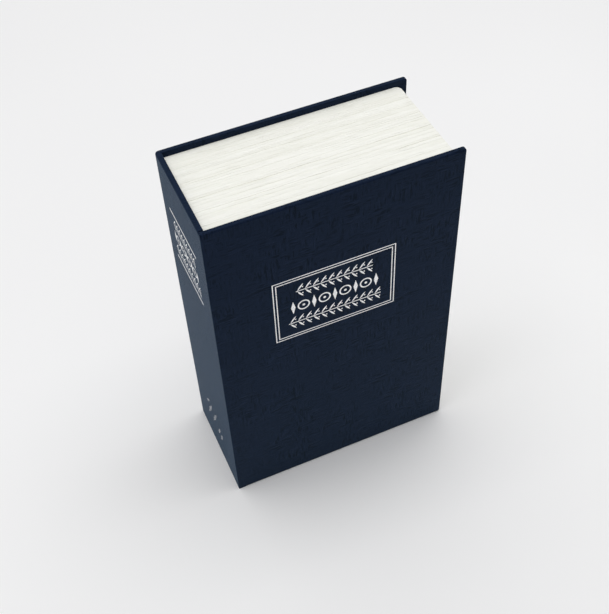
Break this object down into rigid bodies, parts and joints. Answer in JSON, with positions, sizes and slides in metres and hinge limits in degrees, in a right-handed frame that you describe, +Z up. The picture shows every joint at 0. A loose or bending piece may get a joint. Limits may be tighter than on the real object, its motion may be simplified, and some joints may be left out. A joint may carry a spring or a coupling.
{
  "type": "book diversion safe",
  "caption": "Hardcover book with a hollow white page block that hides a hinged steel box with a cam lock.",
  "frame": {"origin": "middle of the book's foot, on the surface that it stands on", "axes": "+X from the spine to the fore-edge, +Y from the front cover to the back cover, +Z up"},
  "size_m": [0.115, 0.055, 0.18],
  "materials": {
    "book_cloth": "woven navy book cloth",
    "greyboard": "plain grey board",
    "lining_paper": "matte dark paper",
    "page_white": "ribbed like the edges of leaves",
    "box_paint": "fine textured powder coat",
    "bright_steel": "zinc plated",
    "lock_chrome": "polished",
    "brass": "stamped sheet"
  },
  "bodies": {
    "root": {"back_cloth": "book_cloth", "spine_cloth": "book_cloth", "joint_cloth": "book_cloth", "back_board": "greyboard", "spine_board": "greyboard", "back_lining": "lining_paper", "spine_lining": "lining_paper", "page_frame": "page_white", "steel_box": "box_paint", "keeper": "bright_steel", "hinge_box_leaf": "bright_steel", "hinge_pin": "bright_steel", "box_leaf_rivet_1": "bright_steel", "box_leaf_rivet_2": "bright_steel", "box_leaf_rivet_3": "bright_steel", "keeper_rivet_1": "bright_steel", "keeper_rivet_2": "bright_steel", "frame_screw_1": "bright_steel", "frame_screw_2": "bright_steel", "frame_screw_3": "bright_steel", "frame_screw_4": "bright_steel"},
    "front_cover": {"front_cloth": "book_cloth", "front_board": "greyboard", "front_lining": "lining_paper"},
    "lid": {"lid_panel": "box_paint", "hinge_lid_leaf": "bright_steel", "star_washer": "bright_steel", "lock_nut": "bright_steel", "lid_leaf_rivet_1": "bright_steel", "lid_leaf_rivet_2": "bright_steel", "lid_leaf_rivet_3": "bright_steel", "lock_housing": "lock_chrome"},
    "lock_plug": {"lock_plug": "lock_chrome", "stop_washer": "bright_steel", "lock_cam": "bright_steel", "cam_washer": "bright_steel", "cam_nut": "bright_steel", "wafer_spring_1": "bright_steel", "wafer_spring_2": "bright_steel", "wafer_spring_3": "bright_steel", "wafer_spring_4": "bright_steel", "wafer_1": "brass", "wafer_2": "brass", "wafer_3": "brass", "wafer_4": "brass"}
  },
  "joints": [
    {"name": "cover_hinge", "type": "hinge", "parent": "root", "child": "front_cover", "pos_m": [-0.05733, -0.02732, 0.09], "axis": [0, 0, -1], "range_deg": [0, 180], "deforming": ["joint_cloth"]},
    {"name": "lid_hinge", "type": "hinge", "parent": "root", "child": "lid", "pos_m": [-0.0447, -0.0226, 0.09], "axis": [0, 0, -1], "range_deg": [0, 100]},
    {"name": "lock_turn", "type": "hinge", "parent": "lid", "child": "lock_plug", "pos_m": [0.0282, -0.0226, 0.09], "axis": [0, 1, 0], "range_deg": [0, 90]}
  ],
  "couplings": [
    {"joint": "lid_hinge", "follows": "cover_hinge", "ratio": 0.55}
  ]
}
